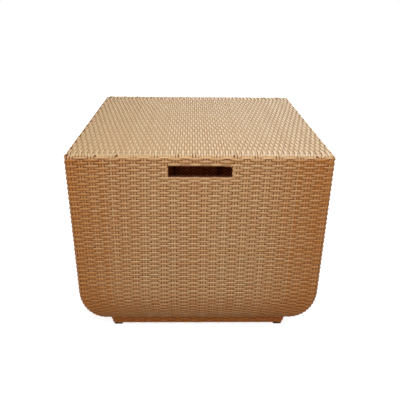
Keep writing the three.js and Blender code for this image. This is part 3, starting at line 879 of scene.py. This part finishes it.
def crossing_stakes():
    """Stakes that run up the left side, across the top and down the right
    side. Across the top they sway with the top weavers, down the sides with
    the rows."""
    down = np.append(ROW_PITCH * np.arange(LAST_ROW + 1), WALL_END)
    strips = []
    for left, right, even in CROSSING_PAIRS:
        sides = []
        for face, pair in ((3, left), (1, right)):
            sign = PAIR_SIGN[pair]
            lift = row_sway(down, sign)
            lift[0] = EDGE_UNDER if sign > 0 else EDGE_OVER
            level = stake_level(down, face, PAIR_ACROSS[pair])
            sides.append(pair_stakes(face, *level, lift))
        z = TOP_MIDDLE - STAKE_SWAY * alternating(TOP_WEAVERS, -PAIR_SIGN[left])
        for hand, (start, end) in zip((-1, 1), zip(sides[0][::-1], sides[1])):
            y = crossing_y(left, right, even) + hand * PAIR_HALF_GAP
            top = np.stack([WEAVER_PLACES, y, z], -1)
            over = top, np.broadcast_to(UP, top.shape), np.full(TOP_WEAVERS, STAKE_WIDTH)
            parts = zip(start[:3], over, end[:3])
            strips.append(
                (*(np.concatenate([a[::-1], b, c]) for a, b, c in parts), STAKE_SHADE)
            )
    return strand_set(strips, STAKE)


stakes_across = strand_mesh("stakes_across", [crossing_stakes()], STAKE_RESIN)
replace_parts(stakes_across, "woven_top", "woven_left", "woven_right")


def weaver_end(face, x, from_over):
    """The end of a top weaver, bent down over the front or back edge and
    tucked in behind the edge strand. Under a stake it stays low. Returns its
    points, normals and lifts, from the foot up."""
    across = x if face == 0 else -x
    lift = np.array(END_FROM_OVER if from_over else END_FROM_UNDER)
    over_edge = (PAIR_FACE == face) & (PAIR_SIGN < 0)
    stakes = drifted(face, PAIR_ACROSS[over_edge], BODY_HEIGHT)
    if np.min(np.abs(stakes - across)) < STAKE_REACH:
        lift = np.minimum(lift, END_BELOW_STAKE)
    lean = EDGE_LEAN * across * ramp(BODY_HALF - abs(across), 0, LEAN_FADE)
    bent = across - lean * np.interp(-END_ALONG, LEAN_ALONG, [1, 0])
    return *side_place(face, bent, wall_at(END_ALONG), lift), lift


def top_weavers(numbers):
    """Weavers that run from front to back over the top, over and under the
    crossing pairs, with an end at each edge."""
    pair_table = np.stack([crossing_y(*pair) for pair in CROSSING_PAIRS])
    strips = []
    for number in numbers:
        x, pair_y = WEAVER_PLACES[number], pair_table[:, number]
        rise = alternating(len(pair_y), -PAIR_SIGN[left_pairs[0]] * (-1) ** number)
        y = (pair_y[:, None] + WEAVE_STEPS * TOP_STRETCH).ravel()
        lift = (WEAVER_LIFT * rise_at(rise[:, None], slice(None))).ravel()
        for end in (0, -1):
            lift[end] = WEAVER_LIFT if rise[end] > 0 else lift[end]
        main = np.stack([x + 0 * y, y, TOP_MIDDLE + lift], -1)
        front = weaver_end(0, x, rise[0] > 0)
        over = main, np.broadcast_to(UP, main.shape), lift
        back = weaver_end(2, x, rise[-1] > 0)
        centre, normal, depth = (
            np.concatenate([a, b, c[::-1]]) for a, b, c in zip(front, over, back)
        )
        # Painted shade where the weaver dives, halved at its ends.
        shade = sunk_share(depth)
        shade[: len(END_ALONG)] *= END_SHADE
        shade[-len(END_ALONG) :] *= END_SHADE
        strips.append((centre, normal, strand_width(depth), shade))
    return strand_set(strips, WEAVER)


for word, first in (("left", 0), ("right", TOP_WEAVERS // 2)):
    sets = [top_weavers(range(first, first + TOP_WEAVERS // 2))]
    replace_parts(strand_mesh(f"top_weavers_{word}", sets, WEAVER_RESIN), "woven_top")


# ---- the plinth
PLINTH_TOP = 31.7
PLINTH_BOTTOM = 6.8
PLINTH_HALF = 234.0
PLINTH_TAPER = 5.0
PLINTH_DEPTH = 3.6
PLINTH_EDGE_RADIUS = 6.0
PLINTH_ROWS = 4
PLINTH_PITCH = (PLINTH_TOP - PLINTH_BOTTOM) / PLINTH_ROWS
PLINTH_ROW_GAP = 0.7
PLINTH_STRAND = PLINTH_DEPTH / 3
PLINTH_LIFT = 0.95
PLINTH_PAINTED_SHADE = 0.35
PAINTED_SHADE_BY_LIFT = 0.5
PLINTH_WEAVER = (PLINTH_STRAND, 8, *PALER_TONES)
PLINTH_STAKE = (0.9 * PLINTH_STRAND, 6, *PALER_TONES)
PLINTH_STAKE_ENDS = (PLINTH_TOP - 0.2, PLINTH_BOTTOM + 0.3)
PLINTH_NODES = [f"woven_plinth_{side}" for side in SIDES]


def plinth_at(height):
    """Middle of the plinth's weave at a height: its half width grows evenly
    from the bottom to the top, and its normal leans down by the taper."""
    share = (PLINTH_TOP - height) / (PLINTH_TOP - PLINTH_BOTTOM)
    lean = math.atan2(PLINTH_TAPER, PLINTH_TOP - PLINTH_BOTTOM)
    outward = math.cos(lean) + 0 * height
    upward = -math.sin(lean) + 0 * height
    outer = PLINTH_HALF - PLINTH_TAPER * share
    half = outer - outward * PLINTH_DEPTH / 2
    return half, height, outward, upward, outer - PLINTH_EDGE_RADIUS


def plinth_rings():
    """The plinth's own rows: closed rings over and under the same pairs as the wall. A ring
    gets painted shade by a share less its lift."""
    rings = []
    for row in range(PLINTH_ROWS):
        height = PLINTH_TOP - PLINTH_PITCH * (row + 0.5)
        level = plinth_at(height + 0 * RING_ACROSS)
        rise = PLINTH_LIFT * rise_at(RING_SIGN * (-1) ** (row + LAST_ROW), RING_STEP)
        place = gathered(RING_ACROSS, level[0])
        point, normal = side_place(RING_FACE, place, level, PLINTH_STRAND * rise)
        # Painted shade, less where the ring lies high.
        painted_shade = np.clip(PLINTH_PAINTED_SHADE - PAINTED_SHADE_BY_LIFT * rise, 0, 1)
        rings.append((point, normal, PLINTH_PITCH - PLINTH_ROW_GAP, painted_shade))
    return strand_set(rings, PLINTH_WEAVER, closed=True)


def plinth_stakes():
    """Short stakes down the plinth, in the middle of its weave."""
    heights = np.linspace(*PLINTH_STAKE_ENDS, 2 * PLINTH_ROWS + 1)
    level = plinth_at(heights)
    stakes = []
    for face, across in zip(PAIR_FACE, PAIR_ACROSS):
        middle, close = gathered(across, level[0]), squeeze(across, level[0])
        stakes += pair_stakes(face, level, middle, close, 0 * heights)
    return strand_set(stakes, PLINTH_STAKE)


for word, made in (("weavers", plinth_rings()), ("stakes", plinth_stakes())):
    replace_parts(strand_mesh(f"plinth_{word}", [made], PLINTH_PAINTED_BOUNCE_RESIN), *PLINTH_NODES)


# ---- slot bindings
BINDING_WIDTH = 4.9
BINDING_THICKNESS = 1.2
BINDING = (BINDING_THICKNESS, 8, *PALER_TONES)
# Painted shade on the bindings, more along the slot's upper edge.
BINDING_PAINTED_SHADE = 0.08
UPPER_BINDING_PAINTED_SHADE = 0.45
# Along a strand: the distance from the slot's edge, the lift from the middle of
# the weave, and the normal across and out.
BINDING_INWARD = np.array([7.4, 5.2, 3.0, 1.7, 0.9, 0.9, 1.7, 3.4, 6.2])
BINDING_LIFT = np.array([-0.9, 0.3, 1.3, 1.3, 0.3, -1.4, -2.4, -2.6, -2.5])
BINDING_ACROSS = np.array([0.0, 0.2, 0.1, -0.5, -1.0, -1.0, -0.5, 0.0, 0.0])
BINDING_OUT = np.array([1.0, 1.0, 1.0, 1.0, 0.2, -0.2, -1.0, -1.0, -1.0])
# The slot's edges waver by two sines, each with its size, length and turn, and
# the upper one flares towards one end.
LOWER_WAVES = ((0.35, 7.3, 0), (0.25, 3.1, 1))
UPPER_WAVES = ((0.35, 7.3, 2), (0.25, 3.1, 1))
SLOT_FLARE = -2.0
FLARE_RAMP = (40.0, 30.0)
UPRIGHT_WAVE = 0.4
UPRIGHT_WAVE_TURN = 1.9


def binding_set(face):
    """Strands bound round the cut edge of the weave at a hand slot, side by
    side along the line above: out between the rows, over the edge and back
    inside. The uprights are made as the others are, with x and z changed
    over."""
    side = -1 if face == 0 else 1
    y = side * (MID_HALF + BINDING_LIFT)
    count = int(2 * SLOT_HALF_WIDTH / BINDING_WIDTH)
    xs = even_places(count, 2 * SLOT_HALF_WIDTH / count)
    zs = np.arange(SLOT_BOTTOM - 1.0, SLOT_TOP + 2.0, BINDING_WIDTH + 0.1)
    lower, upper = (
        sum(size * np.sin(xs / length + turn) for size, length, turn in waves)
        for waves in (LOWER_WAVES, UPPER_WAVES)
    )
    upper = upper + SLOT_FLARE * ramp(xs * -side, *FLARE_RAMP)
    upright = UPRIGHT_WAVE * np.sin(zs * UPRIGHT_WAVE_TURN)
    strips = []
    for order, direction, edge, places, wave, painted_shade in (
        (1, -1, SLOT_BOTTOM, xs, lower, BINDING_PAINTED_SHADE),
        (1, 1, SLOT_TOP, xs, upper, UPPER_BINDING_PAINTED_SHADE),
        (-1, -1, -SLOT_HALF_WIDTH, zs, upright, BINDING_PAINTED_SHADE),
        (-1, 1, SLOT_HALF_WIDTH, zs, upright, BINDING_PAINTED_SHADE),
    ):
        normal = np.stack([0 * y, side * BINDING_OUT, direction * BINDING_ACROSS], -1)
        normal = unit(normal)[:, ::order]
        for place, rise in zip(places, wave):
            centre = [place + 0 * y, y, edge + direction * (BINDING_INWARD + rise)]
            strips.append((np.stack(centre[::order], -1), normal, BINDING_WIDTH, painted_shade))
    return strand_set(strips, BINDING)


for face in (0, 2):
    binding = strand_mesh(f"binding_{SIDES[face]}", [binding_set(face)], STAKE_RESIN)
    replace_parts(binding, f"slot_binding_{SIDES[face]}")


# ---- the ground, a dark sheet whose colour is painted shade
GROUND_THICKNESS = 0.5
CORNER_START = 284.0
CORNER_ACROSS = np.array([CORNER_START, 286.0, 288.0, 290.0, MID_HALF])
GROUND_ALONG = np.concatenate(
    [np.linspace(-8, 7, 10), np.linspace(20, 350, 12), np.linspace(356, WALL_END, 24)]
)


def thin_patch(middle, normal):
    """A thin closed plate round a grid of middle points, which run down and
    then to the right as seen from outside: the grid moved out and in along its
    normals by half the thickness, joined round the rim."""
    rows, columns = middle.shape[:2]
    move = normal * GROUND_THICKNESS / 2
    points = np.concatenate([(middle + move).reshape(-1, 3), (middle - move).reshape(-1, 3)])
    index = np.arange(rows * columns).reshape(rows, columns)
    quads = index[:-1, :-1], index[1:, :-1], index[1:, 1:], index[:-1, 1:]
    outer = np.stack(quads, -1).reshape(-1, 4)
    inner = outer[:, ::-1] + rows * columns
    rim = np.concatenate([index[0, :-1], index[:-1, -1], index[-1, :0:-1], index[:0:-1, 0]])
    after = np.roll(rim, -1)
    wall = np.stack([rim, after, after + rows * columns, rim + rows * columns], -1)
    return points, np.concatenate([outer, inner, wall])


def ground_piece(name, patches):
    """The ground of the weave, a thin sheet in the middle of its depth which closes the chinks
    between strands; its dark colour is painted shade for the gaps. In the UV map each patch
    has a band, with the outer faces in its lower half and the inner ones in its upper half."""
    parts = []
    for number, (middle, normal) in enumerate(patches):
        points, quads = thin_patch(middle, normal)
        rows, columns = middle.shape[:2]
        v = np.linspace(MAP_MARGIN, 0.5 - MAP_MARGIN, rows)
        u = np.linspace(MAP_MARGIN, 1 - MAP_MARGIN, columns)
        v, u = np.meshgrid(v, u, indexing="ij")
        uv = np.stack([np.stack([u, v], -1), np.stack([u, v + 0.5], -1)]).reshape(-1, 2)
        uv[:, 1] = (uv[:, 1] + number) / len(patches)
        parts.append((points, quads, uv[quads.ravel()]))
    return write_mesh(name, parts, PAINTED_SHADE_GROUND)


def level_patch(faces, across, level):
    """The middle of a weave over a run of places round the table, at levels
    from the top down."""
    level = [part[:, None] for part in level]
    place = gathered(across[None, :], level[0])
    faces = np.broadcast_to(faces, place.shape)
    return side_place(faces, place, level, 0 * place)


def wrap_patch(first_face):
    """From the hand slot in one side, round the next side, to the opposite
    slot."""
    flat = np.linspace(-CORNER_START, CORNER_START, 15)[1:-1]
    full = np.concatenate([-CORNER_ACROSS[::-1], flat, CORNER_ACROSS])
    start = np.linspace(SLOT_HALF_WIDTH, CORNER_START, 6)[:-1]
    start = np.concatenate([start, CORNER_ACROSS])
    across = np.concatenate([start, full[1:], -start[::-1][1:]])
    counts = [len(start), len(full) - 1, len(start) - 1]
    faces = np.repeat([first_face, first_face + 1, first_face + 2], counts)
    return level_patch(faces, across, wall_at(GROUND_ALONG))


def strip_patch(face, first_along, last_along):
    """The strip of one side above or below its hand slot."""
    across = np.linspace(-SLOT_HALF_WIDTH, SLOT_HALF_WIDTH, 8)
    inner = GROUND_ALONG[(GROUND_ALONG > first_along) & (GROUND_ALONG < last_along)]
    along = np.concatenate([[first_along], inner, [last_along]])
    return level_patch(face, across, wall_at(along))


side_patches = [wrap_patch(0), wrap_patch(2)]
for face in (0, 2):
    side_patches.append(strip_patch(face, GROUND_ALONG[0], SLOT_TOP_ALONG))
    side_patches.append(strip_patch(face, SLOT_BOTTOM_ALONG, WALL_END))
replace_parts(ground_piece("ground_sides", side_patches), *SIDE_NODES)

top_places = np.linspace(TOP_EDGE_RADIUS - BODY_HALF, BODY_HALF - TOP_EDGE_RADIUS, 9)
x, y = np.meshgrid(top_places, -top_places)
top_middle = np.stack([x, y, 0 * x + TOP_MIDDLE], -1)
top_patch = top_middle, np.broadcast_to(UP, top_middle.shape)
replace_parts(ground_piece("ground_top", [top_patch]), "woven_top")

across = np.concatenate([-CORNER_ACROSS[::-1], np.linspace(-250, 250, 7), CORNER_ACROSS])
faces = np.repeat([0, 1, 2, 3], len(across))
level = plinth_at(np.linspace(PLINTH_TOP, PLINTH_BOTTOM, 5))
plinth_patch = level_patch(faces, np.tile(across, 4), level)
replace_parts(ground_piece("ground_plinth", [plinth_patch]), *PLINTH_NODES)


# ---- the frame and glides
for node_name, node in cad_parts.items():
    finish = GLIDE_PLASTIC if node_name.startswith("glide") else POWDER_COAT
    for material_slot in node.material_slots:
        material_slot.link = "OBJECT"
        material_slot.material = finish


# ---- studio
FLOOR_REACH = 6.0
FLOOR_GREY = (0.55, 0.55, 0.55, 1)
FLOOR_CLEAR = 0.22
FLOOR_LIFT = {"From Min": 0.3, "From Max": 1.2, "To Min": 0.8, "To Max": 1.0}
WHITE = (1, 1, 1, 1)
AMBIENT = 0.135


def studio_floor():
    """A flat square of pale grey. Seen by the camera it is lifted to white
    beyond the table's shadow: by its emission, which grows with the distance
    from the middle and is nothing under the table."""
    corners = ((-1, -1), (1, -1), (1, 1), (-1, 1))
    points = [(FLOOR_REACH * x, FLOOR_REACH * y, 0) for x, y in corners]
    mesh = bpy.data.meshes.new("studio_floor")
    mesh.from_pydata(points, [], [(0, 1, 2, 3)])
    floor = linked("studio_floor", mesh)
    material = bpy.data.materials.new("pale_floor")
    material.use_nodes = True
    tree = material.node_tree
    seen = add_node(tree, "LightPath", {}).outputs["Is Camera Ray"]
    place = {0: add_node(tree, "TexCoord", {}).outputs["Object"]}
    away = add_node(tree, "VectorMath", place, operation="LENGTH").outputs["Value"]
    inputs = {"Value": away, **FLOOR_LIFT}
    lift = add_node(tree, "MapRange", inputs, interpolation_type="SMOOTHSTEP").outputs[0]
    clear = sums(tree, "GREATER_THAN", away, FLOOR_CLEAR)
    inputs = {
        "Base Color": FLOOR_GREY,
        "Roughness": 0.9,
        "Specular IOR Level": 0.1,
        "Emission Color": WHITE,
        "Emission Strength": sums(tree, "MULTIPLY", sums(tree, "MULTIPLY", seen, lift), clear),
    }
    feed(tree, tree.nodes["Principled BSDF"], inputs)
    mesh.materials.append(material)


def studio_world():
    """Plain white seen by the camera, and an even grey light on everything."""
    world = bpy.data.worlds.new("studio_world")
    bpy.context.scene.world = world
    world.use_nodes = True
    tree = world.node_tree
    seen = add_node(tree, "LightPath", {}).outputs["Is Camera Ray"]
    inputs = {"Value": seen, "To Min": AMBIENT, "To Max": 1.0}
    strength = add_node(tree, "MapRange", inputs).outputs[0]
    feed(tree, tree.nodes["Background"], {"Color": WHITE, "Strength": strength})


def area_light(name, location, target, size, power, colour=(1, 1, 1)):
    """A rectangle of light in metres, aimed at a point."""
    data = bpy.data.lights.new(name, "AREA")
    data.shape = "RECTANGLE"
    data.size, data.size_y = size
    data.energy = power
    data.color = colour
    light = linked(name, data)
    light.location = location
    aim = Vector(target) - Vector(location)
    light.rotation_euler = aim.to_track_quat("-Z", "Y").to_euler()


studio_floor()
studio_world()
for light in (
    ("overhead_soft", (0.3, -0.2, 2.3), (0, 0, 0.4), (2.4, 2.0), 25),
    ("left_window", (-2.2, -0.9, 1.3), (0, 0, 0.3), (1.6, 1.6), 14),
    ("front_high", (0.25, -1.7, 2.2), (0, -0.1, 0.4), (2.0, 1.2), 11.5),
    ("front_near", (0.03, -1.15, 1.1), (0, -0.2, 0.3), (0.5, 0.3), 4.7),
    ("front_low", (0.03, -1.2, 0.5), (0, -0.2, 0.25), (0.6, 0.4), 0.95),
    ("back_soft", (1.0, 2.3, 1.6), (0, 0, 0.5), (3.0, 1.6), 36),
    ("inside_glow", (0, -0.05, 0.38), (0, 0.3, 0.25), (0.3, 0.1), 0.11, (1, 0.42, 0.25)),
):
    area_light(*light)


# ---- camera
CAMERA_PLACE = (-0.01936, -1.25001, 0.84186)
CAMERA_YAW = -0.02054
CAMERA_PITCH = 0.43124
CAMERA_ROLL = 0.01145
CAMERA_LENS = 42.432
CAMERA_CLIP = (0.05, 60)


def studio_camera():
    """Looks along its yaw and down by its pitch, then rolls about its own
    line of sight."""
    data = bpy.data.cameras.new("camera")
    data.lens = CAMERA_LENS
    data.clip_start, data.clip_end = CAMERA_CLIP
    camera = linked("camera", data)
    camera.matrix_world = (
        Matrix.Translation(CAMERA_PLACE)
        @ Matrix.Rotation(CAMERA_YAW, 4, "Z")
        @ Matrix.Rotation(math.pi / 2 - CAMERA_PITCH, 4, "X")
        @ Matrix.Rotation(CAMERA_ROLL, 4, "Z")
    )
    bpy.context.scene.camera = camera


studio_camera()
bpy.context.scene.view_settings.view_transform = "Standard"

bpy.context.view_layer.update()
